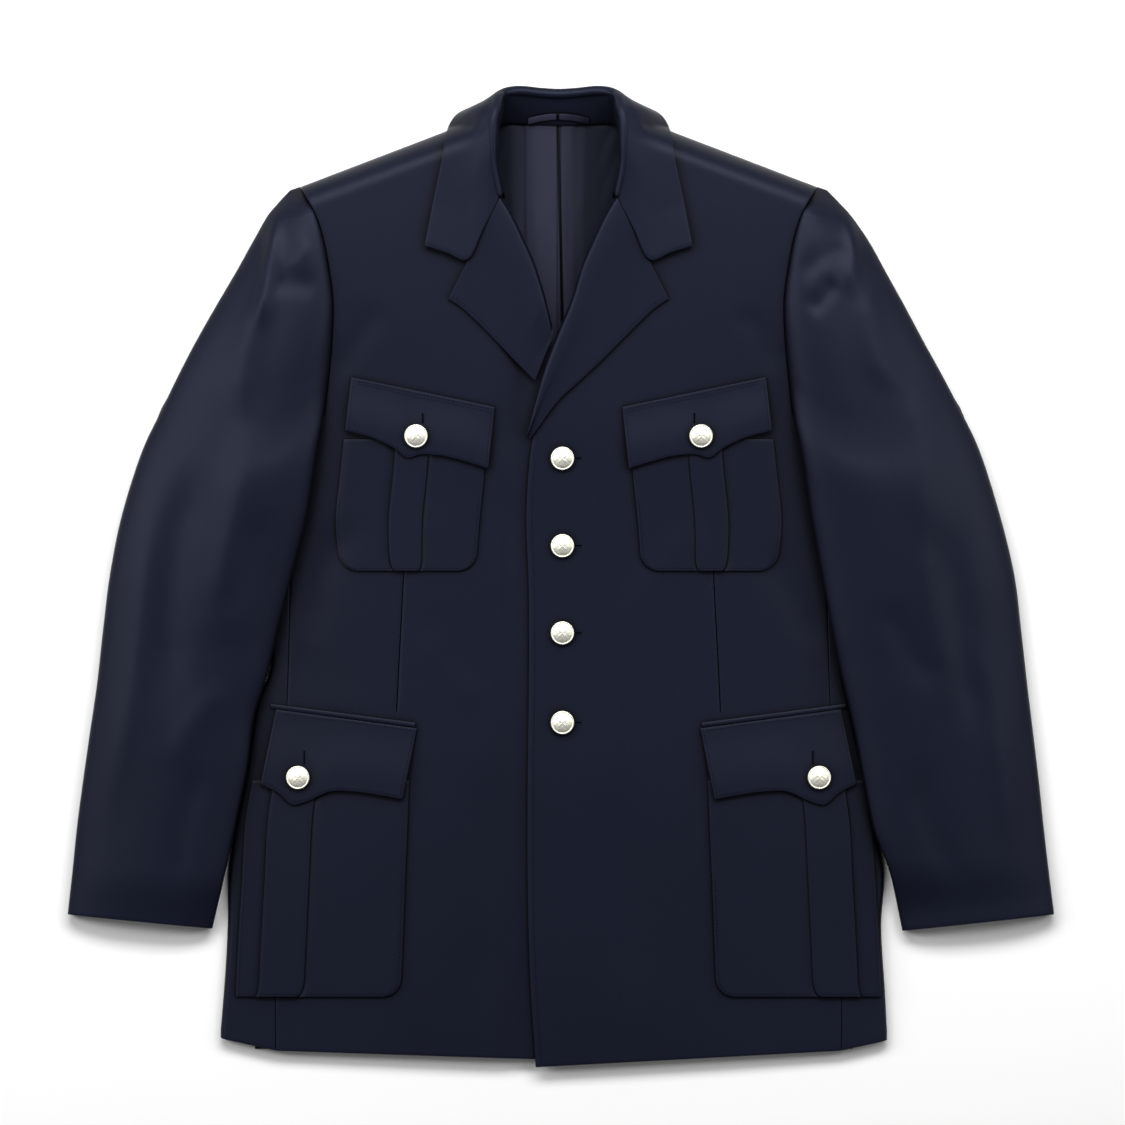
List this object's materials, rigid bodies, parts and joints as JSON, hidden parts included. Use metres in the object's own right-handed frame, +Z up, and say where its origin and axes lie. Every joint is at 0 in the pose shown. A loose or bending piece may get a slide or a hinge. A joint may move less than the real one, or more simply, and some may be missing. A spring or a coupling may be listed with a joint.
{
  "type": "police uniform tunic, laid flat",
  "caption": "Dark navy uniform tunic laid flat: notched collar and lapels, metal buttons, pleated chest and hip patch pockets with pointed flaps.",
  "frame": {"origin": "middle of the laid garment's footprint, on the surface that it lies on", "axes": "+Z up from the surface, +Y towards the collar, +X towards the wearer's left sleeve"},
  "size_m": [0.839, 0.8343, 0.0443],
  "materials": {
    "wool": "matt dark navy twill",
    "satin": "smooth satin lining",
    "button_metal": "pale matt metal, pebbled face"
  },
  "bodies": {
    "root": {"front_left": "wool", "front_right": "wool", "side_left": "wool", "side_right": "wool", "back": "wool", "back_lining": "satin", "collar": "wool", "lapel_left": "wool", "lapel_right": "wool", "hanger_loop": "satin", "sleeve_left_top": "wool", "sleeve_left_under": "wool", "sleeve_right_top": "wool", "sleeve_right_under": "wool", "chest_pocket_left": "wool", "chest_pocket_right": "wool", "chest_flap_left": "wool", "chest_flap_right": "wool", "hip_pocket_left": "wool", "hip_pocket_right": "wool", "hip_flap_left": "wool", "hip_flap_right": "wool", "front_button_1": "button_metal", "front_button_2": "button_metal", "front_button_3": "button_metal", "front_button_4": "button_metal", "chest_button_left": "button_metal", "chest_button_right": "button_metal", "hip_button_left": "button_metal", "hip_button_right": "button_metal"}
  },
  "joints": []
}
